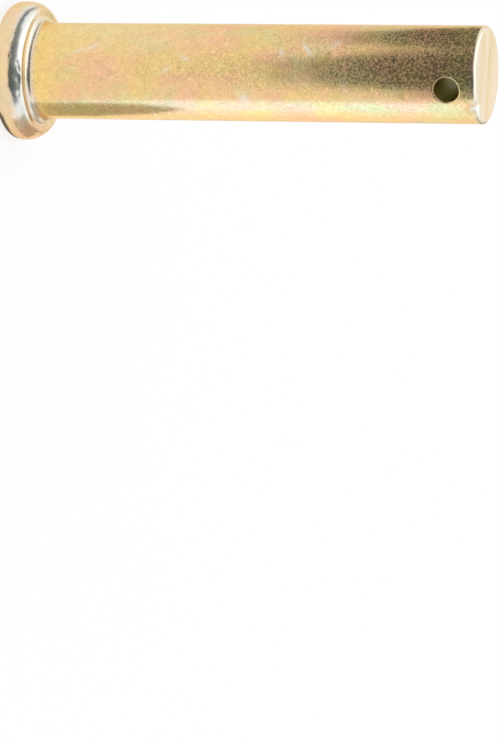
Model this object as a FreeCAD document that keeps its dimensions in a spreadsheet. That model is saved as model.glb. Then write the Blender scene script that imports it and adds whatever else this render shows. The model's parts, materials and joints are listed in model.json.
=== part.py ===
"""One-piece clevis pin: a cold-headed round head, a plain shank and a cross hole near the tip.

Millimetres. The pin stands on its head: the origin is the centre of the head's outer face,
and +Z runs along the shank to the tip. The cross hole runs along Y.
"""
import FreeCAD, Part
import Sketcher
import math
import os

PIN_NAME = "clevis_pin"
PARTS_FOLDER = "parts"

# Driving dimensions in mm, each written once: alias, value, what it measures
SIZES = [
    ("shank_diameter", 20.0, "round shank, the size that fits the clevis"),
    ("shank_length", 95.2, "underside of the head to the tip face"),
    ("head_diameter", 28.8, "outside of the upset head"),
    ("head_thickness", 6.9, "outer face to underside of the head"),
    ("head_outer_round", 2.8, "rounding of the rim at the outer face"),
    ("head_under_round", 2.9, "rounding of the rim at the underside"),
    ("neck_fillet", 0.8, "root radius where the shank meets the head"),
    ("tip_round", 0.7, "tumbled edge round the cut tip face"),
    ("hole_diameter", 5.2, "cross hole for the split pin"),
    ("hole_to_tip", 6.1, "tip face to the centre of the cross hole"),
    ("hole_edge_round", 0.3, "tumbled edge at both mouths of the cross hole"),
]

# Heights and radii that follow from the sizes, as the sketches and features use them
HEAD_RADIUS = "sizes.head_diameter / 2"
SHANK_RADIUS = "sizes.shank_diameter / 2"
HOLE_RADIUS = "sizes.hole_diameter / 2"
HOLE_HEIGHT = "sizes.head_thickness + sizes.shank_length - sizes.hole_to_tip"

# A rounding stops a little short of using up the wall that it is cut from
WALL_LEFT = 0.95
RIM_SHARE = f"{WALL_LEFT} * sizes.head_thickness / (sizes.head_outer_round + sizes.head_under_round)"
SHOULDER_SHARE = (
    f"{WALL_LEFT} * (sizes.head_diameter - sizes.shank_diameter) / 2"
    " / (sizes.head_under_round + sizes.neck_fillet)"
)
OUTER_ROUND = f"sizes.head_outer_round * min(1; {RIM_SHARE})"
UNDER_ROUND = f"sizes.head_under_round * min(1; {RIM_SHARE}; {SHOULDER_SHARE})"
NECK_FILLET = f"sizes.neck_fillet * min(1; {SHOULDER_SHARE})"

# Points of a line or a circle, as sketch constraints number them
START, END, CENTRE = 1, 2, 3
ORIGIN = -1

# Two lengths this near each other, in mm, are the same
SAME = 1e-4


def make_sheet(doc):
    """The spreadsheet that every sketch and feature reads its sizes from."""
    sheet = doc.addObject("Spreadsheet::Sheet", "sizes")
    for row, (alias, value, note) in enumerate(SIZES, start=1):
        sheet.set(f"A{row}", note)
        sheet.set(f"B{row}", str(value))
        sheet.setAlias(f"B{row}", alias)
    doc.recompute()
    return sheet


def new_sketch(body, name):
    """An empty sketch on the body's own XZ plane, where Z runs up the page."""
    plane = next(item for item in body.Origin.OriginFeatures if item.Role == "XZ_Plane")
    sketch = body.newObject("Sketcher::SketchObject", name)
    sketch.AttachmentSupport = [(plane, "")]
    sketch.MapMode = "FlatFace"
    return sketch


def dimension(sketch, name, formula, *rule):
    """Add one dimension to a sketch and tie it to the spreadsheet."""
    index = sketch.addConstraint(Sketcher.Constraint(*rule))
    sketch.renameConstraint(index, name)
    sketch.setExpression(f"Constraints.{name}", formula)


def turn_blank(body, sheet):
    """Head and shank as one upset blank: half the long section, turned about the centre line."""
    head_radius = sheet.head_diameter / 2
    shank_radius = sheet.shank_diameter / 2
    shoulder = sheet.head_thickness
    tip = sheet.head_thickness + sheet.shank_length
    corners = [
        (0, 0),
        (head_radius, 0),
        (head_radius, shoulder),
        (shank_radius, shoulder),
        (shank_radius, tip),
        (0, tip),
    ]
    outer_face, rim, underside, shank, tip_face, centre_line = range(len(corners))

    sketch = new_sketch(body, "half_section")
    for start, end in zip(corners, corners[1:] + corners[:1]):
        sketch.addGeometry(Part.LineSegment(FreeCAD.Vector(*start), FreeCAD.Vector(*end)))
    for line in range(len(corners)):
        follower = (line + 1) % len(corners)
        sketch.addConstraint(Sketcher.Constraint("Coincident", line, END, follower, START))
    sketch.addConstraint(Sketcher.Constraint("Coincident", outer_face, START, ORIGIN, START))
    for line in (outer_face, underside, tip_face):
        sketch.addConstraint(Sketcher.Constraint("Horizontal", line))
    for line in (rim, shank, centre_line):
        sketch.addConstraint(Sketcher.Constraint("Vertical", line))
    dimension(sketch, "head_radius", HEAD_RADIUS,
              "DistanceX", outer_face, START, outer_face, END, head_radius)
    dimension(sketch, "head_thickness", "sizes.head_thickness",
              "DistanceY", rim, START, rim, END, sheet.head_thickness)
    dimension(sketch, "shank_radius", SHANK_RADIUS,
              "DistanceX", tip_face, END, tip_face, START, shank_radius)
    dimension(sketch, "shank_length", "sizes.shank_length",
              "DistanceY", shank, START, shank, END, sheet.shank_length)

    blank = body.newObject("PartDesign::Revolution", "blank")
    blank.Profile = sketch
    blank.ReferenceAxis = (sketch, ["V_Axis"])
    blank.Angle = 360
    return blank


def drill_cross_hole(body, sheet):
    """The split pin's hole, drilled square through the centre line from both sides."""
    radius = sheet.hole_diameter / 2
    height = sheet.head_thickness + sheet.shank_length - sheet.hole_to_tip
    sketch = new_sketch(body, "hole_circle")
    centre = FreeCAD.Vector(0, height)
    circle = sketch.addGeometry(Part.Circle(centre, FreeCAD.Vector(0, 0, 1), radius))
    dimension(sketch, "hole_radius", HOLE_RADIUS, "Radius", circle, radius)
    sketch.addConstraint(Sketcher.Constraint("DistanceX", ORIGIN, START, circle, CENTRE, 0))
    dimension(sketch, "hole_height", HOLE_HEIGHT,
              "DistanceY", ORIGIN, START, circle, CENTRE, height)

    hole = body.newObject("PartDesign::Pocket", "cross_hole")
    hole.Profile = sketch
    hole.Type = "ThroughAll"
    hole.Midplane = True
    return hole


def edge_names(shape, belongs):
    """Names of the edges whose every sampled point the rule accepts."""
    samples = 9
    return [
        f"Edge{number}"
        for number, edge in enumerate(shape.Edges, start=1)
        if all(belongs(point) for point in edge.discretize(samples))
    ]


def ring(radius, height):
    """Rule for the round edge of a given radius at a given height on the centre line."""
    def belongs(point):
        off_radius = math.hypot(point.x, point.y) - radius
        return abs(off_radius) < SAME and abs(point.z - height) < SAME
    return belongs


def hole_mouth(sheet):
    """Rule for the two saddle-shaped edges where the cross hole breaks out of the shank."""
    height = sheet.head_thickness + sheet.shank_length - sheet.hole_to_tip
    def belongs(point):
        off_shank = math.hypot(point.x, point.y) - sheet.shank_diameter / 2
        off_hole = math.hypot(point.x, point.z - height) - sheet.hole_diameter / 2
        return abs(off_shank) < SAME and abs(off_hole) < SAME
    return belongs


def dress(body, name, formula, belongs, wanted):
    """Round the edges of the body so far that a rule accepts."""
    base = body.Tip
    edges = edge_names(base.Shape, belongs)
    if len(edges) != wanted:
        raise ValueError(f"{name}: {len(edges)} edges found, {wanted} wanted")
    feature = body.newObject("PartDesign::Fillet", name)
    feature.Base = (base, edges)
    feature.setExpression("Radius", formula)
    feature.Document.recompute()


def must_be_sound(doc):
    """Stop if any object failed to build or came out empty."""
    for item in doc.Objects:
        if "Invalid" in item.State or "Error" in item.State:
            raise ValueError(f"{item.Name} failed: {item.State}")
        if item.isDerivedFrom("PartDesign::Feature") and not item.Shape.isValid():
            raise ValueError(f"{item.Name} has a bad shape")


def make_pin(doc, sheet):
    """The whole pin, in the order it is made: headed, drilled, then its edges broken."""
    body = doc.addObject("PartDesign::Body", PIN_NAME)
    body.Label = PIN_NAME
    body.Placement = FreeCAD.Placement()
    blank = turn_blank(body, sheet)
    doc.recompute()
    hole = drill_cross_hole(body, sheet)
    doc.recompute()
    if hole.Shape.Volume >= blank.Shape.Volume - SAME:
        raise ValueError("the cross hole cut nothing")

    head_radius = sheet.head_diameter / 2
    shank_radius = sheet.shank_diameter / 2
    shoulder = sheet.head_thickness
    tip = sheet.head_thickness + sheet.shank_length
    dress(body, "outer_rim", OUTER_ROUND, ring(head_radius, 0), 1)
    dress(body, "under_rim", UNDER_ROUND, ring(head_radius, shoulder), 1)
    dress(body, "neck", NECK_FILLET, ring(shank_radius, shoulder), 1)
    dress(body, "tip_edge", "sizes.tip_round", ring(shank_radius, tip), 1)
    dress(body, "hole_edges", "sizes.hole_edge_round", hole_mouth(sheet), 2)
    return body


def main():
    doc = FreeCAD.newDocument("pin")
    sheet = make_sheet(doc)
    pin = make_pin(doc, sheet)
    must_be_sound(doc)
    if pin.Shape.isNull() or not pin.Shape.isValid() or len(pin.Shape.Solids) != 1:
        raise ValueError("the pin is not one sound solid")
    os.makedirs(PARTS_FOLDER, exist_ok=True)
    pin.Shape.exportStep(os.path.join(PARTS_FOLDER, f"{pin.Label}.step"))
    print(f"{pin.Label}: {pin.Shape.Volume / 1000:.2f} cm3, {len(pin.Shape.Faces)} faces,"
          f" {pin.Shape.BoundBox.ZLength:.1f} mm tall")


main()
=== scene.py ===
"""One yellow-passivated clevis pin standing on its head on a white studio floor.

The camera lies on its side, as the pin lies in the photograph: the tip points to the right of
the picture and the head touches its left edge.
"""
import json
import math
import random
import bmesh
import bpy
from mathutils import Matrix, Vector, kdtree, noise


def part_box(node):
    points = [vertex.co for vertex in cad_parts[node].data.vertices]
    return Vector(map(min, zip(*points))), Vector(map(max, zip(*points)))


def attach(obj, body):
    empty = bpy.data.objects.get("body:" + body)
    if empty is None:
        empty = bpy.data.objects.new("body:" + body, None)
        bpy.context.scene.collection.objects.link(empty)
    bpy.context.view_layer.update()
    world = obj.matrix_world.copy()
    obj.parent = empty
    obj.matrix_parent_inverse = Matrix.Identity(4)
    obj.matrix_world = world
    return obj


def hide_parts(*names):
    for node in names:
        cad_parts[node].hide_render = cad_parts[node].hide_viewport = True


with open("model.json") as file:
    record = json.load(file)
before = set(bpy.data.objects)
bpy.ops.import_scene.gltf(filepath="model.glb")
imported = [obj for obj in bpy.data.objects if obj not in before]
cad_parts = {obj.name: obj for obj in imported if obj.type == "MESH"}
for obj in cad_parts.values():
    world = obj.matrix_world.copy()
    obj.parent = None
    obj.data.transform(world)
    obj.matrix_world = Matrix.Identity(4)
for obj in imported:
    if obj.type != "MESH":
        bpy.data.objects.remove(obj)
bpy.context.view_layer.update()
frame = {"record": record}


# The clevis pin is one piece of round steel bar, cut to length and its head upset cold in a die.
# The rim squeezed out free of the die, so it is round-edged and not quite true; the other end was
# sheared a little out of square, its edge tumbled round and a hole drilled for a split pin.
MM = 0.001
mounts = {mount["name"]: mount for mount in frame["record"]["mounts"]}
box_low, box_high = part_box("clevis_pin")
head_radius = box_high.x
tip_height = box_high.z
shank_radius = mounts["shank"]["dims"]["r_mm"] * MM
shank_middle = mounts["shank"]["pos_m"][2]
shank_half = mounts["shank"]["dims"]["length_mm"] / 2 * MM
shoulder_height = mounts["shoulder"]["pos_m"][2]
hole_radius = mounts["cross_hole"]["dims"]["r_mm"] * MM
hole_height = mounts["cross_hole"]["pos_m"][2]
tip_round = tip_height - shank_middle - shank_half
OUTER_ROUND = 2.8 * MM      # rim at the head's outer face
UNDER_RISE = 3.5 * MM       # rim at the underside, taller than it is wide
UNDER_REACH = 2.2 * MM
CREST_TURN = 78             # degrees of the rim's oval, from its side up to its crest
GROOVE_DEPTH = 0.3 * MM     # the shoulder sinks this far between the rim's crest and the root
GROOVE_FLAT = 0.15 * MM     # the groove's level foot, before the root's round begins
ROOT_ROUND = 1.3 * MM
HOLE_EDGE_ROUND = 0.3 * MM

COLUMNS = 240           # mesh columns round the pin, a multiple of four
SHANK_STEP = 0.4 * MM   # height of a mesh row along the shank
PATCH_HALF = 4.4 * MM   # half width of the square that is meshed anew round each hole mouth


def straight(start, end, steps):
    """Points (radius, height) along a straight stretch of the section, without the first."""
    shares = [step / steps for step in range(1, steps + 1)]
    return [(start[0] + (end[0] - start[0]) * s, start[1] + (end[1] - start[1]) * s) for s in shares]


def arc(centre, wide, tall, start, end, steps):
    """Points (radius, height) along an oval stretch of the section, without the first."""
    angles = [math.radians(start + (end - start) * step / steps) for step in range(1, steps + 1)]
    return [(centre[0] + wide * math.cos(a), centre[1] + tall * math.sin(a)) for a in angles]


# Half section of the pin, from the middle of the head's face round to the middle of the tip face.
# Beside each point stands how far tumbling has rubbed the yellow film off there, from 0 to 1.
section = []


def extend(points, rubbed_from, rubbed_to):
    """Add a stretch of the section, its rub going evenly from one share to the other."""
    for index, (radius, height) in enumerate(points, start=1):
        rubbed = rubbed_from + (rubbed_to - rubbed_from) * index / len(points)
        section.append((radius, height, rubbed))


# The head: its outer face, the rim's rounding there and the rim's side
face_edge = head_radius - OUTER_ROUND
flank_top = shoulder_height - UNDER_RISE * math.sin(math.radians(CREST_TURN))
extend(straight((0.0, 0.0), (face_edge, 0.0), 12), 0.1, 0.4)
extend(arc((face_edge, OUTER_ROUND), OUTER_ROUND, OUTER_ROUND, -90, 0, 16), 0.4, 0.2)
extend(straight((head_radius, OUTER_ROUND), (head_radius, flank_top), 2), 0.2, 0.2)

# The rim's oval up to its crest. The film ends between these two turns of it, in degrees.
FILM_THINS = 14
FILM_ENDS = 36
shoulder_edge = head_radius - UNDER_REACH
rim_centre = (shoulder_edge, flank_top)
extend(arc(rim_centre, UNDER_REACH, UNDER_RISE, 0, FILM_THINS, 4), 0.2, 0.3)
extend(arc(rim_centre, UNDER_REACH, UNDER_RISE, FILM_THINS, FILM_ENDS, 8), 0.3, 1.0)
extend(arc(rim_centre, UNDER_REACH, UNDER_RISE, FILM_ENDS, CREST_TURN, 16), 1.0, 1.0)

# Down into the groove and up the root's round, which turns gold from this turn on, in degrees
GOLD_FROM = -140
neck = (shank_radius + ROOT_ROUND, shoulder_height - GROOVE_DEPTH + ROOT_ROUND)
extend(straight(section[-1][:2], (neck[0] + GROOVE_FLAT, neck[1] - ROOT_ROUND), 6), 1.0, 1.0)
extend(arc(neck, ROOT_ROUND, ROOT_ROUND, -90, GOLD_FROM, 8), 0.9, 0.7)
root_first = len(section)
extend(arc(neck, ROOT_ROUND, ROOT_ROUND, GOLD_FROM, -180, 8), 0.7, 0.4)

# The shank's rows are spaced so that the square round the hole starts and ends on a row
ROOT_ROWS = 3
patch_low = hole_height - PATCH_HALF
patch_high = hole_height + PATCH_HALF
root_top = neck[1] + ROOT_ROWS * SHANK_STEP
extend(straight((shank_radius, neck[1]), (shank_radius, root_top), ROOT_ROWS), 0.2, 0.0)
extend(straight((shank_radius, root_top), (shank_radius, patch_low),
                round((patch_low - root_top) / SHANK_STEP)), 0.0, 0.0)
patch_first = len(section) - 1
extend(straight((shank_radius, patch_low), (shank_radius, patch_high),
                round((patch_high - patch_low) / SHANK_STEP)), 0.0, 0.0)
patch_last = len(section) - 1

# The tip: the last of the shank, the tumbled edge and the sheared face
tip_foot = tip_height - tip_round
extend(straight((shank_radius, patch_high), (shank_radius, tip_foot), 4), 0.0, 0.2)
extend(arc((shank_radius - tip_round, tip_foot), tip_round, tip_round, 0, 90, 8), 0.4, 1.0)
face_first = len(section)
extend(straight((shank_radius - tip_round, tip_height), (0.0, tip_height), 24)[:-1], 0.8, 0.0)

# The section is turned about the centre line, one vertex in the middle of each end
verts = [Vector((0.0, 0.0, 0.0))]
rubs_and_painted_highlight = [0.1]
rows = []
for radius, height, rubbed in section:
    rows.append([])
    for column in range(COLUMNS):
        angle = 2 * math.pi * column / COLUMNS
        rows[-1].append(len(verts))
        verts.append(Vector((radius * math.cos(angle), radius * math.sin(angle), height)))
        rubs_and_painted_highlight.append(rubbed)
tip_middle = len(verts)
verts.append(Vector((0.0, 0.0, tip_height)))
rubs_and_painted_highlight.append(0.0)

# The hole runs along Y, so its two mouths are a quarter turn each side of the X axis
MOUTH_COLUMNS = {-1: 3 * COLUMNS // 4, 1: COLUMNS // 4}
patch_columns = round(PATCH_HALF / shank_radius / (2 * math.pi) * COLUMNS)


def in_patch(row, column):
    """Whether the mesh cell above a row and after a column lies in the square round a mouth."""
    beside = any(-patch_columns <= column - middle < patch_columns for middle in MOUTH_COLUMNS.values())
    return beside and patch_first <= row < patch_last


faces = []
for column in range(COLUMNS):
    after = (column + 1) % COLUMNS
    faces.append((0, rows[0][after], rows[0][column]))
    faces.append((rows[-1][column], rows[-1][after], tip_middle))
    for row, (lower, upper) in enumerate(zip(rows, rows[1:])):
        if not in_patch(row, column):
            faces.append((lower[column], lower[after], upper[after], upper[column]))


def join(ring, following):
    """Quads between two closed rings of as many vertices."""
    for index in range(len(ring)):
        after = (index + 1) % len(ring)
        faces.append((ring[index], ring[after], following[after], following[index]))


def add_ring(places, rubbed):
    """Add one closed ring of vertices and give their numbers."""
    first = len(verts)
    verts.extend(places)
    rubs_and_painted_highlight.extend([rubbed] * len(places))
    return list(range(first, len(verts)))


PATCH_RINGS = 10
EDGE_RINGS = 6
WALL_RINGS = 10
EDGE_RUBBED = 0.15
innermost = []
bore_rings = []
for sign, middle in MOUTH_COLUMNS.items():
    left, right = middle - patch_columns, middle + patch_columns
    square = [rows[patch_first][column] for column in range(left, right)]
    square += [rows[row][right] for row in range(patch_first, patch_last)]
    square += [rows[patch_last][column] for column in range(right, left, -1)]
    square += [rows[row][left] for row in range(patch_last, patch_first, -1)]
    off_hole = [(verts[index].x, verts[index].z - hole_height) for index in square]
    directions = [math.atan2(z, x) for x, z in off_hole]

    # From the square in to the mouth, lying on the shank's round surface
    mouth = hole_radius + HOLE_EDGE_ROUND
    ring = square
    for step in range(1, PATCH_RINGS + 1):
        share = step / PATCH_RINGS
        places = []
        for (x, z), direction in zip(off_hole, directions):
            x = x * (1 - share) + mouth * math.cos(direction) * share
            z = z * (1 - share) + mouth * math.sin(direction) * share
            places.append(Vector((x, sign * math.sqrt(shank_radius ** 2 - x ** 2), hole_height + z)))
        following = add_ring(places, 0.0)
        join(ring, following)
        ring = following

    # Over the rounded edge and down the wall, to just short of half way
    for step in range(1, EDGE_RINGS + 1):
        turn = math.radians(90 * step / EDGE_RINGS)
        reach = hole_radius + HOLE_EDGE_ROUND * (1 - math.sin(turn))
        sunk = HOLE_EDGE_ROUND * (1 - math.cos(turn))
        places = []
        for direction in directions:
            x = reach * math.cos(direction)
            y = math.sqrt(shank_radius ** 2 - x ** 2) - sunk
            places.append(Vector((x, sign * y, hole_height + reach * math.sin(direction))))
        following = add_ring(places, EDGE_RUBBED)
        join(ring, following)
        ring = following
    wall_top = [verts[index].copy() for index in ring]
    for step in range(1, WALL_RINGS + 1):
        share = 1 - step / (WALL_RINGS + 0.5)
        following = add_ring([Vector((spot.x, spot.y * share, spot.z)) for spot in wall_top], 0.0)
        bore_rings.append(following)
        join(ring, following)
        ring = following
    innermost.append(ring)

near_ring, far_ring = innermost


def opposite(index):
    """The vertex of the far wall's last ring that faces one of the near wall's."""
    mirrored = Vector((verts[index].x, -verts[index].y, verts[index].z))
    return min(far_ring, key=lambda other: (verts[other] - mirrored).length)


# The two walls meet half way
join(near_ring, [opposite(index) for index in near_ring])

skin = bpy.data.meshes.new("clevis_pin_skin")
skin.from_pydata(verts, [], faces)
shape = bmesh.new()
shape.from_mesh(skin)
bmesh.ops.recalc_face_normals(shape, faces=shape.faces)
shape.normal_update()
shape.verts.ensure_lookup_table()

# A blow has flattened the rim's upper corner over a short way and left it crumpled.
# Each flat looks up from level by so many degrees, and cuts so many mm off the corner.
FLATS = [(25, 0.12), (34, 0.2)]
FLAT_SIDE = -102        # degrees round the pin from its X axis, as every side below
FLAT_HALF = 16          # degrees
CRUMPLE = 0.05 * MM
CRUMPLE_SIZE = 0.9 * MM
for tilt, depth in FLATS:
    out, up = math.cos(math.radians(tilt)), math.sin(math.radians(tilt))
    corner = math.hypot(UNDER_REACH * out, UNDER_RISE * up) + shoulder_edge * out + flank_top * up
    for vert in shape.verts:
        off_side = (math.degrees(math.atan2(vert.co.y, vert.co.x)) - FLAT_SIDE) / FLAT_HALF
        if vert.co.z > shoulder_height or abs(off_side) >= 1:
            continue
        reach = math.hypot(vert.co.x, vert.co.y)
        cut = (1 - off_side ** 2) * (depth * MM + CRUMPLE * noise.noise(vert.co / CRUMPLE_SIZE))
        over = reach * out + vert.co.z * up - corner + cut
        if over > 0:
            outward = Vector((vert.co.x, vert.co.y, 0.0)) / reach
            vert.co -= (outward * out + Vector((0.0, 0.0, up))) * over

# Sheared out of square: the tip face leans, and the shank's last rows follow it.
# The head's underside leans as much, the die not having closed evenly.
LEAN = math.radians(1.2)
TIP_RISES_TO = math.radians(167)
HEAD_RISES_TO = math.radians(98)
SETTLE = 4 * MM         # above the root, the shank's rows are level again within this height
lean_from = hole_height + hole_radius + HOLE_EDGE_ROUND
for vert in shape.verts:
    along_tip = vert.co.x * math.cos(TIP_RISES_TO) + vert.co.y * math.sin(TIP_RISES_TO)
    along_head = vert.co.x * math.cos(HEAD_RISES_TO) + vert.co.y * math.sin(HEAD_RISES_TO)
    tip_share = min(1.0, max(0.0, (vert.co.z - lean_from) / (tip_foot - lean_from)))
    head_share = min(vert.co.z / shoulder_height, (neck[1] + SETTLE - vert.co.z) / SETTLE, 1.0)
    vert.co.z += math.tan(LEAN) * (along_tip * tip_share + along_head * max(0.0, head_share))

# Upset and tumbled: the rim runs out of true and the whole skin is faintly wavy
RIM_WAVE = 0.08 * MM
WIDER_AND_NARROWER = 1.6    # swells of the rim, counted across the head
HIGHER_AND_LOWER = 2.2
WIDER_SEED = Vector((3.0, 1.0, 5.0))
HIGHER_SEED = Vector((8.0, 2.0, 1.0))
SKIN_WAVE = 0.02 * MM
SKIN_WAVE_LENGTH = 7.0 * MM

# The film is rubbed off unevenly, most on the side of the rim that shows in the photograph.
# The rub grows steeply where the rim faces that side, and in places runs a little further.
RUBBED_SIDE = math.radians(-118)
RUB_EDGE = 0.45             # cosine of the angle off that side where half the film is left
RUB_STEEPNESS = 3.0
RUB_PATCHES = 0.4
RUB_PATCH_SIZE = 3.0 * MM
LEAST_RUBBED = 0.12
ROOT_RUBBED = 0.7           # in the root the rub varies less, and never falls under this share
for vert in shape.verts:
    reach = math.hypot(vert.co.x, vert.co.y)
    if reach > shank_radius and vert.co.z < neck[1]:
        rim_share = (reach - shank_radius) / (head_radius - shank_radius)
        outward = Vector((vert.co.x, vert.co.y, 0.0)) / reach
        wider = noise.noise(outward * WIDER_AND_NARROWER + WIDER_SEED)
        vert.co += outward * RIM_WAVE * wider * rim_share
        if vert.co.z > flank_top:
            vert.co.z += RIM_WAVE * noise.noise(outward * HIGHER_AND_LOWER + HIGHER_SEED) * rim_share
        facing = math.cos(math.atan2(vert.co.y, vert.co.x) - RUBBED_SIDE)
        patchy = noise.noise(vert.co / RUB_PATCH_SIZE)
        share = 0.5 + RUB_STEEPNESS * (facing - RUB_EDGE) + RUB_PATCHES * patchy
        share = min(1.0, max(LEAST_RUBBED, share))
        rubs_and_painted_highlight[vert.index] *= share if reach > neck[0] else ROOT_RUBBED + (1 - ROOT_RUBBED) * share
    elif vert.co.z > shoulder_height:
        vert.co += vert.normal * SKIN_WAVE * noise.noise(vert.co / SKIN_WAVE_LENGTH)

# Knocks and scuffs from being handled loose in a box of others
shape.normal_update()
finder = kdtree.KDTree(len(shape.verts))
for vert in shape.verts:
    finder.insert(vert.co, vert.index)
finder.balance()
DENT_SPREAD = 2.2       # a dent fades out within so many of its widths


def knock(side, radius, height, width, depth, rubbed=0.0):
    """Press a soft round dent into the skin; its side in degrees, its sizes in mm."""
    angle = math.radians(side)
    middle = Vector((radius * math.cos(angle), radius * math.sin(angle), height)) * MM
    inward = shape.verts[finder.find(middle)[1]].normal.copy()
    for _, index, distance in finder.find_range(middle, DENT_SPREAD * width * MM):
        share = math.exp(-((distance / (width * MM)) ** 2))
        shape.verts[index].co -= inward * depth * MM * share
        rubs_and_painted_highlight[index] = max(rubs_and_painted_highlight[index], rubbed * share)


def scuff(side, height, length, width, slant, rubbed):
    """Rub the film off along a short straight streak on the shank; slant is from level."""
    angle = math.radians(side)
    middle = Vector((math.cos(angle), math.sin(angle), 0.0)) * shank_radius
    middle.z = height * MM
    level = Vector((-math.sin(angle), math.cos(angle), 0.0))
    along = level * math.cos(math.radians(slant)) + Vector((0.0, 0.0, math.sin(math.radians(slant))))
    across = level * math.sin(math.radians(slant)) - Vector((0.0, 0.0, math.cos(math.radians(slant))))
    for spot, index, _ in finder.find_range(middle, length * MM):
        offset = spot - middle
        far = (offset.dot(along) / (length * MM / 2)) ** 2 + (offset.dot(across) / (width * MM / 2)) ** 2
        rubs_and_painted_highlight[index] = max(rubs_and_painted_highlight[index], rubbed * math.exp(-far))


# The marks that the photograph shows: a cluster of dents on the rim, the nick in the tip's edge,
# dents down the shank and a few scuffs. A dent is its side, radius, height, width and depth, and
# the nick is rubbed bare as well.
DENTS = [
    (-116, 13.6, 6.2, 0.6, 0.10),
    (-108, 13.2, 6.5, 0.6, 0.10),
    (-101, 13.6, 6.2, 0.6, 0.12),
    (-95, 13.2, 6.5, 0.6, 0.10),
    (-88, 13.6, 6.2, 0.6, 0.10),
    (-106, 14.2, 4.9, 0.5, 0.06),
    (-96, 14.2, 4.7, 0.5, 0.06),
    (-93, 14.4, 3.2, 0.6, 0.07),
    (-97, 14.4, 2.4, 0.5, 0.06),
    (-64, 9.9, 101.9, 1.2, 0.75, 1.0),
    (-151, 10.0, 33.0, 0.45, 0.06),
    (-142, 10.0, 37.0, 0.45, 0.06),
    (-122, 10.0, 38.5, 0.45, 0.06),
    (-115, 10.0, 40.1, 0.5, 0.05),
    (-91, 10.0, 46.2, 0.45, 0.04),
    (-109, 10.0, 12.4, 0.5, 0.04),
    (176, 10.0, 56.8, 0.6, 0.07),
]
for dent in DENTS:
    knock(*dent)
scuff(-137, 66.8, 3.4, 0.9, 35, 0.7)
scuff(-133, 61.4, 1.6, 0.8, 0, 0.6)
scuff(-78, 53.2, 2.0, 1.6, 70, 0.55)
scuff(-139, 20.5, 3.2, 1.0, -60, 0.45)

# The rest of the pin has as many small marks, scattered
RIM_MARKS = 26
SHANK_MARKS = 34
SHANK_SCUFFS = 16
scatter = random.Random(20)
for _ in range(RIM_MARKS):
    side = scatter.uniform(-180, 180)
    tilt = math.radians(scatter.uniform(10, 75))
    radius = (shoulder_edge + UNDER_REACH * math.cos(tilt)) / MM
    height = (flank_top + UNDER_RISE * math.sin(tilt)) / MM
    knock(side, radius, height, scatter.uniform(0.4, 0.9), scatter.uniform(0.02, 0.07))
for _ in range(SHANK_MARKS):
    side = scatter.uniform(-180, 180)
    height = scatter.uniform(10, 98)
    knock(side, shank_radius / MM, height, scatter.uniform(0.4, 0.6), scatter.uniform(0.02, 0.05))
for _ in range(SHANK_SCUFFS):
    side = scatter.uniform(-180, 180)
    height = scatter.uniform(12, 98)
    scuff(side, height, scatter.uniform(1.5, 4.0), scatter.uniform(0.6, 1.0),
          scatter.uniform(-70, 70), scatter.uniform(0.2, 0.45))

shape.to_mesh(skin)
shape.free()
skin.shade_smooth()


def add_layer(name, values):
    """Keep one number for each vertex, for the material to read."""
    layer = skin.attributes.new(name, "FLOAT", "POINT")
    layer.data.foreach_set("value", values)


# Toward one side the tip face is painted pale, a painted highlight beside its tumbled edge.
# The shank's film is deeper in colour next to the head, and one long patch of it is greener.
HIGHLIGHT_SIDE = math.radians(-113)
HIGHLIGHT_STEEPNESS = 1.5
FACE_LEFT = 0.1         # share of the sheared face's own colour that is left on the pale side
GREEN_SIDE = math.radians(165)
GREEN_HEIGHT = 22 * MM
GREEN_LENGTH = 18 * MM
DEEP_LENGTH = 5 * MM
DEEP_START = 0.3 * MM   # below the root's top
DEEP_RISE = 1.2 * MM    # height over which the deeper colour comes in
bore_shares = [0.0] * len(verts)
for ring in bore_rings:
    for index in ring:
        bore_shares[index] = 1.0
face_shares = [0.0] * len(verts)
face_shares[tip_middle] = 1.0
green_shares = [0.0] * len(verts)
deep_shares = [0.0] * len(verts)
for number, row in enumerate(rows):
    for index in row:
        spot = verts[index]
        angle = math.atan2(spot.y, spot.x)
        if number >= face_first:
            # Toward one side the face's own colour gives way to bare white, a painted highlight
            beside = max(0.0, math.cos(angle - HIGHLIGHT_SIDE)) * math.hypot(spot.x, spot.y) / shank_radius
            painted_highlight = min(1.0, HIGHLIGHT_STEEPNESS * beside)
            face_shares[index] = 1.0 - (1.0 - FACE_LEFT) * painted_highlight
            rubs_and_painted_highlight[index] = max(rubs_and_painted_highlight[index], painted_highlight)
        if number > root_first:
            above_root = min(1.0, max(0.0, (spot.z - neck[1] + DEEP_START) / DEEP_RISE))
            deep_shares[index] = above_root * math.exp(-((spot.z - neck[1]) / DEEP_LENGTH) ** 2)
        off_middle = (spot.z - GREEN_HEIGHT) / GREEN_LENGTH
        green_shares[index] = math.exp(-off_middle ** 2) * max(0.0, math.cos(angle - GREEN_SIDE)) ** 3
# The rub layer holds the film's wear and, on the tip face, the painted highlight
add_layer("rubbed", rubs_and_painted_highlight)
add_layer("bore", bore_shares)
add_layer("sheared", face_shares)
add_layer("green", green_shares)
add_layer("deep", deep_shares)

pin = bpy.data.objects.new("pin", skin)
bpy.context.scene.collection.objects.link(pin)
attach(pin, "root")
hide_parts("clevis_pin")


def linear(code):
    """An sRGB hex colour as linear red, green, blue and alpha."""
    values = [int(code[start:start + 2], 16) / 255 for start in (1, 3, 5)]
    return (*(v / 12.92 if v <= 0.04045 else ((v + 0.055) / 1.055) ** 2.4 for v in values), 1.0)


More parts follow.
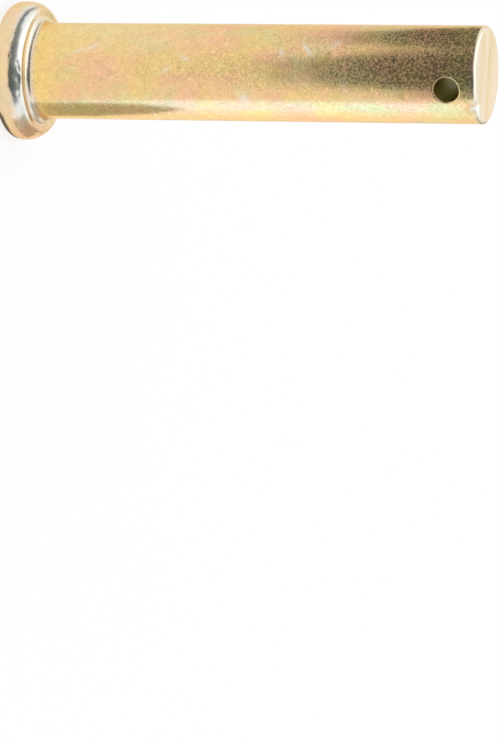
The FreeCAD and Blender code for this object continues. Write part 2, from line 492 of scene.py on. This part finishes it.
def add_node(material, kind, settings=None, inputs=None):
    """Add one node, set its properties and fill or link its inputs, by name or by number.

    A mix of colours takes its share in input 0 and its two colours in inputs 6 and 7, and gives
    output 2; a mix of numbers takes its share in input 0 and its two numbers in inputs 2 and 3.
    """
    node = material.node_tree.nodes.new(kind)
    for name, value in (settings or {}).items():
        setattr(node, name, value)
    for name, value in (inputs or {}).items():
        if isinstance(value, bpy.types.NodeSocket):
            material.node_tree.links.new(value, node.inputs[name])
        else:
            node.inputs[name].default_value = value
    return node


# Zinc plate passivated in yellow chromate: a metal with a film so thin that it shows colours,
# gold turning to pink, green and straw in soft patches, over a finely crystalline, satin grain.
zinc = bpy.data.materials.new("yellow_passivated_zinc")
zinc.use_nodes = True
zinc_shader = zinc.node_tree.nodes["Principled BSDF"]
in_metres = add_node(zinc, "ShaderNodeTexCoord").outputs["Object"]
per_mm = add_node(zinc, "ShaderNodeVectorMath", {"operation": "SCALE"},
                  {0: in_metres, "Scale": 1 / MM}).outputs[0]
PATCH_DRAW = 0.6     # along the pin the patches run longer than across, by one over this
PATCH_SIZE = 7.0     # mm, the broad patches where the film turns from gold to pink
TINGE_SIZE = 5.0     # mm, the patches of green over them
MOTTLE_SIZE = 1.2    # mm, the fine mottling of the film
GRAIN_SIZE = 0.5     # mm, the plate's crystals, drawn far coarser than real ones so that they show
drawn_out = add_node(zinc, "ShaderNodeVectorMath", {"operation": "MULTIPLY"},
                     {0: per_mm, 1: (1.0, 1.0, PATCH_DRAW)}).outputs[0]
patches = add_node(zinc, "ShaderNodeTexNoise", None,
                   {"Vector": drawn_out, "Scale": 1 / PATCH_SIZE, "Detail": 2.0}).outputs["Fac"]
tinges = add_node(zinc, "ShaderNodeTexNoise", {"noise_dimensions": "4D"},
                  {"Vector": drawn_out, "W": 7.0, "Scale": 1 / TINGE_SIZE, "Detail": 2.0}).outputs["Fac"]
mottle = add_node(zinc, "ShaderNodeTexNoise", {"noise_dimensions": "4D"},
                  {"Vector": per_mm, "W": 3.0, "Scale": 1 / MOTTLE_SIZE, "Detail": 3.0}).outputs["Fac"]
crystals = add_node(zinc, "ShaderNodeTexNoise", None,
                    {"Vector": per_mm, "Scale": 1 / GRAIN_SIZE, "Detail": 1.0})
crystal = add_node(zinc, "ShaderNodeSeparateColor", None, {"Color": crystals.outputs["Color"]})
pink_share = add_node(zinc, "ShaderNodeMapRange", {"interpolation_type": "SMOOTHSTEP"},
                      {"Value": patches, "From Min": 0.36, "From Max": 0.64}).outputs["Result"]
film = add_node(zinc, "ShaderNodeMix", {"data_type": "RGBA"},
                {0: pink_share, 6: linear("#f2cf88"), 7: linear("#f5c396")}).outputs[2]
tinge_share = add_node(zinc, "ShaderNodeMapRange", {"interpolation_type": "SMOOTHSTEP"},
                       {"Value": tinges, "From Min": 0.45, "From Max": 0.72,
                        "To Max": 0.8}).outputs["Result"]
tinged = add_node(zinc, "ShaderNodeMix", {"data_type": "RGBA"},
                  {0: tinge_share, 6: film, 7: linear("#dfd193")}).outputs[2]
green = add_node(zinc, "ShaderNodeAttribute", {"attribute_name": "green"}).outputs["Fac"]
greened = add_node(zinc, "ShaderNodeMix", {"data_type": "RGBA"},
                   {0: green, 6: tinged, 7: linear("#ecdc9e")}).outputs[2]
deep = add_node(zinc, "ShaderNodeAttribute", {"attribute_name": "deep"}).outputs["Fac"]
deepened = add_node(zinc, "ShaderNodeMix", {"data_type": "RGBA"},
                    {0: deep, 6: greened, 7: linear("#f4d17f")}).outputs[2]
mottled_by = add_node(zinc, "ShaderNodeMapRange", None,
                      {"Value": mottle, "From Min": 0.3, "From Max": 0.7,
                       "To Min": 0.9, "To Max": 1.06}).outputs["Result"]
mottled = add_node(zinc, "ShaderNodeMix", {"data_type": "RGBA", "blend_type": "MULTIPLY"},
                   {0: 1.0, 6: deepened, 7: mottled_by}).outputs[2]
grained_by = add_node(zinc, "ShaderNodeMapRange", None,
                      {"Value": crystal.outputs["Red"], "From Min": 0.3, "From Max": 0.7,
                       "To Min": 0.93, "To Max": 1.07}).outputs["Result"]
grained = add_node(zinc, "ShaderNodeMix", {"data_type": "RGBA", "blend_type": "MULTIPLY"},
                   {0: 1.0, 6: mottled, 7: grained_by}).outputs[2]

# Where the film is rubbed off, the bare plate is nearly white; toward one side of the tip face the same
# white is a painted highlight
rubbed = add_node(zinc, "ShaderNodeAttribute", {"attribute_name": "rubbed"}).outputs["Fac"]
worn = add_node(zinc, "ShaderNodeMix", {"data_type": "RGBA"},
                {0: rubbed, 6: grained, 7: linear("#eff0ea")}).outputs[2]

# The sheared tip face is paler, with low ridges across it where the blade tore through
RIDGE_SPACING = 4.2  # mm between the ridges, and they run on for about ten times as far
RIDGE_SLANT = math.radians(23)
FACE_SHOWS = 0.85    # the film still shows through the face's own colour by the rest
FACE_COLOURS = [(0.38, "#ecdcb6"), (0.5, "#f9f0dc"), (0.6, "#fff8fa")]
sheared = add_node(zinc, "ShaderNodeAttribute", {"attribute_name": "sheared"}).outputs["Fac"]
slanted = add_node(zinc, "ShaderNodeMapping", None,
                   {"Vector": per_mm, "Rotation": (0.0, 0.0, RIDGE_SLANT)}).outputs[0]
ridged = add_node(zinc, "ShaderNodeVectorMath", {"operation": "MULTIPLY"},
                  {0: slanted, 1: (0.1 / RIDGE_SPACING, 1 / RIDGE_SPACING, 0.0)}).outputs[0]
ridges = add_node(zinc, "ShaderNodeTexNoise", None,
                  {"Vector": ridged, "Scale": 1.0, "Detail": 2.0}).outputs["Fac"]
face_tone = add_node(zinc, "ShaderNodeValToRGB", None, {"Fac": ridges})
face_stops = face_tone.color_ramp.elements
face_stops.new(0.5)
for stop, (position, colour) in zip(face_stops, FACE_COLOURS):
    stop.position = position
    stop.color = linear(colour)
faced_with = add_node(zinc, "ShaderNodeMath", {"operation": "MULTIPLY"},
                      {0: sheared, 1: FACE_SHOWS}).outputs[0]
faced = add_node(zinc, "ShaderNodeMix", {"data_type": "RGBA"},
                 {0: faced_with, 6: worn, 7: face_tone.outputs["Color"]}).outputs[2]

# The hole's wall is coloured a dark olive, painted shade for the deep recess, and made rougher so that
# it stays dull
inside = add_node(zinc, "ShaderNodeAttribute", {"attribute_name": "bore"}).outputs["Fac"]
coloured = add_node(zinc, "ShaderNodeMix", {"data_type": "RGBA"},
                    {0: inside, 6: faced, 7: linear("#9a9424")}).outputs[2]

# Satin, as each crystal scatters a little more or less than the next, and even where it is bare
satin = add_node(zinc, "ShaderNodeMapRange", None,
                 {"Value": crystal.outputs["Green"], "From Min": 0.35, "From Max": 0.7,
                  "To Min": 0.15, "To Max": 0.36}).outputs["Result"]
bare = add_node(zinc, "ShaderNodeMix", None, {0: rubbed, 2: satin, 3: 0.25}).outputs[0]
dulled = add_node(zinc, "ShaderNodeMix", None, {0: inside, 2: bare, 3: 0.6}).outputs[0]
relief = add_node(zinc, "ShaderNodeBump", None,
                  {"Strength": 0.8, "Distance": 0.012 * MM,
                   "Height": crystals.outputs["Fac"]}).outputs["Normal"]
zinc.node_tree.links.new(coloured, zinc_shader.inputs["Base Color"])
zinc.node_tree.links.new(dulled, zinc_shader.inputs["Roughness"])
zinc.node_tree.links.new(relief, zinc_shader.inputs["Normal"])
zinc_shader.inputs["Metallic"].default_value = 1.0
zinc_shader.inputs["Coat Weight"].default_value = 0.5
zinc_shader.inputs["Coat Roughness"].default_value = 0.2
zinc_shader.inputs["Specular Tint"].default_value = linear("#f3deb6")
skin.materials.append(zinc)


# The studio floor is a wide sheet of matt white paper under an evenly white sky.
# It keeps the pin's soft shadow, and shows in the plate as the pale light from below.
FLOOR_RADIUS = 3.0
bpy.ops.mesh.primitive_circle_add(vertices=96, radius=FLOOR_RADIUS, fill_type="NGON")
floor = bpy.context.object
floor.name = "floor"
paper = bpy.data.materials.new("matt_white_paper")
paper.use_nodes = True
paper_shader = paper.node_tree.nodes["Principled BSDF"]
paper_shader.inputs["Base Color"].default_value = (0.2, 0.2, 0.2, 1.0)
paper_shader.inputs["Roughness"].default_value = 0.9
paper_shader.inputs["Specular IOR Level"].default_value = 0.0
paper_shader.inputs["Emission Color"].default_value = (1.0, 1.0, 1.0, 1.0)
paper_shader.inputs["Emission Strength"].default_value = 0.8
floor.data.materials.append(paper)

sky = bpy.data.worlds.new("white_studio")
sky.use_nodes = True
sky.node_tree.nodes["Background"].inputs["Color"].default_value = (1.0, 1.0, 1.0, 1.0)
sky.node_tree.nodes["Background"].inputs["Strength"].default_value = 1.0
bpy.context.scene.world = sky
bpy.context.scene.view_settings.view_transform = "Standard"


# The camera lies on its side and looks a little down the pin, from near the hole's side.
# It aims beside the pin, so that a point on the centre line falls on its place in the picture.
PICTURE = (500, 744)
FOCAL_PIXELS = 4378.5
SENSOR = 36.0
AIM_HEIGHT = 51.6 * MM
AIM_PIXEL = (248.58, 72.60)
DISTANCE = 0.9
BEARING = 23.03         # degrees off the hole's side
LOOK_DOWN = 17.195      # degrees
ROLL = 91.768           # degrees
lens = bpy.data.cameras.new("camera")
lens.sensor_width = SENSOR
lens.lens = FOCAL_PIXELS * SENSOR / PICTURE[1]
lens.clip_end = 20.0
camera = bpy.data.objects.new("camera", lens)
bpy.context.scene.collection.objects.link(camera)
turn = (
    Matrix.Rotation(-math.radians(BEARING), 3, "Z")
    @ Matrix.Rotation(math.radians(90 - LOOK_DOWN), 3, "X")
    @ Matrix.Rotation(math.radians(ROLL), 3, "Z")
)
off_right = (AIM_PIXEL[0] - PICTURE[0] / 2) / FOCAL_PIXELS * DISTANCE
off_down = (AIM_PIXEL[1] - PICTURE[1] / 2) / FOCAL_PIXELS * DISTANCE
right, upward, backward = turn.col
stand = Vector((0.0, 0.0, AIM_HEIGHT)) - right * off_right + upward * off_down + backward * DISTANCE
camera.matrix_world = Matrix.Translation(stand) @ turn.to_4x4()
bpy.context.scene.camera = camera


# Cards stood round the pin give the plate something to mirror, as flags and reflectors do in a
# studio. Only mirrored rays see them, so they light nothing and cast no shadow.
def card(name, corners, brightness, tint="#ffffff"):
    """A card as a strip of quads, each between two neighbouring pairs of corners."""
    strip = bpy.data.meshes.new(name)
    quads = [(n, n + 2, n + 3, n + 1) for n in range(0, len(corners) - 2, 2)]
    strip.from_pydata(corners, [], quads)
    board = bpy.data.objects.new(name, strip)
    bpy.context.scene.collection.objects.link(board)
    board.visible_camera = False
    board.visible_diffuse = False
    board.visible_shadow = False
    board.visible_transmission = False
    surface = bpy.data.materials.new(name)
    surface.use_nodes = True
    surface.node_tree.nodes.remove(surface.node_tree.nodes["Principled BSDF"])
    glow = add_node(surface, "ShaderNodeEmission", None,
                    {"Color": linear(tint), "Strength": brightness})
    output = surface.node_tree.nodes["Material Output"]
    surface.node_tree.links.new(glow.outputs[0], output.inputs["Surface"])
    strip.materials.append(surface)


def around(bearing, distance, height):
    """A place by its bearing from the camera, to the picture's top, and distance from the pin."""
    angle = math.radians(-90 - BEARING - bearing)
    return Vector((distance * math.cos(angle), distance * math.sin(angle), height)) * MM


def curved(distance, columns):
    """Corner pairs of a card that stands round the pin, from (bearing, low, high) columns."""
    corners = []
    for bearing, low, high in columns:
        corners.append(around(bearing, distance, low))
        corners.append(around(bearing, distance, high))
    return corners


def lying(height, columns):
    """Corner pairs of a card that lies level, from (bearing, near, far) columns."""
    corners = []
    for bearing, near, far in columns:
        corners.append(around(bearing, near, height))
        corners.append(around(bearing, far, height))
    return corners


# The dark side of the room is a grey flag on the camera's side, with an uneven foot and top
DARK_DISTANCE = 200
DARK_COLUMNS = [
    (-62, 44, 66), (-50, 42, 66), (-44, 41, 90), (-40, 30, 130), (-35, 22, 190), (-28, 17, 200),
    (-21, 12, 200), (-8, 8, 200), (4, 9, 65), (17, 8, 65), (29, 13, 65), (43, 27, 65),
    (56, 36, 65), (72, 23, 65), (88, 20, 65), (111, 27, 65), (130, 40, 65), (142, 56, 65),
]
card("dark_flag", curved(DARK_DISTANCE, DARK_COLUMNS), 0.105, "#e2faff")

# Behind and above it the room grows lighter by steps, which stand lower toward the picture's top
FADING_DISTANCE = 205
FADING = [
    (-62, 1.0), (-50, 1.1), (-44, 1.6), (-35, 3.2), (-8, 3.2), (4, 1.0), (30, 1.0), (60, 0.7),
    (88, 0.42), (112, 0.34),
]
for name, low, high, brightness in (
    ("flag_second", 60, 100, 0.17),
    ("flag_third", 100, 140, 0.23),
    ("flag_fourth", 140, 180, 0.34),
    ("flag_fifth", 180, 220, 0.55),
    ("flag_top", 220, 265, 0.85),
):
    fading_columns = [(bearing, low * sink, high * sink) for bearing, sink in FADING]
    card(name, curved(FADING_DISTANCE, fading_columns), brightness)

# Toward the picture's foot stand a small pale flag near the pin and a grey one further off
SMALL_DISTANCE = 30
SMALL_COLUMNS = [
    (-124, 0, 10), (-114, 0, 18), (-106, 0, 26), (-98, 0, 30), (-88, 0, 32), (-80, 0, 28), (-73, 0, 20),
]
GREY_DISTANCE = 200
GREY_COLUMNS = [(-175, 62, 135), (-145, 62, 135), (-115, 62, 135)]
card("small_flag", curved(SMALL_DISTANCE, SMALL_COLUMNS), 0.5, "#fffaea")
card("grey_flag", curved(GREY_DISTANCE, GREY_COLUMNS), 0.5)

# A dark card lying level under the rim is a painted shadow: it stands for the floor that the head
# shades, dark in the plate's reflection
CONTACT_HEIGHT = 0.05
CONTACT_NEAR = 11
CONTACT_REACH = [
    (-165, 11.5), (-150, 14), (-120, 16), (-95, 16), (-70, 16), (-54, 15.5), (-44, 14), (-32, 11.5),
]
contact_columns = [(bearing, CONTACT_NEAR, reach) for bearing, reach in CONTACT_REACH]
card("contact_painted_shadow", lying(CONTACT_HEIGHT, contact_columns), 0.17)

# The bright side is a softbox overhead and white sheets lying below the picture's foot
SOFTBOX_HEIGHT = 420
softbox = []
for along in (-450, 450):
    for across in (-110, 430):
        softbox.append(around(100, across, SOFTBOX_HEIGHT) + around(10, along, 0))
card("softbox", softbox, 1.3)
SHEET_HEIGHT = 0.6
SHEET_NEAR = 31
SHEET_FAR = 420
for name, bearings, brightness, tint in (
    ("near_sheet", (-74, -88, -102), 2.15, "#c4e0ff"),
    ("white_sheet", (-102, -112, -122), 1.5, "#f0faff"),
    ("far_sheet", (-122, -138, -152), 1.2, "#ffffff"),
):
    sheet_columns = [(bearing, SHEET_NEAR, SHEET_FAR) for bearing in bearings]
    card(name, lying(SHEET_HEIGHT, sheet_columns), brightness, tint)
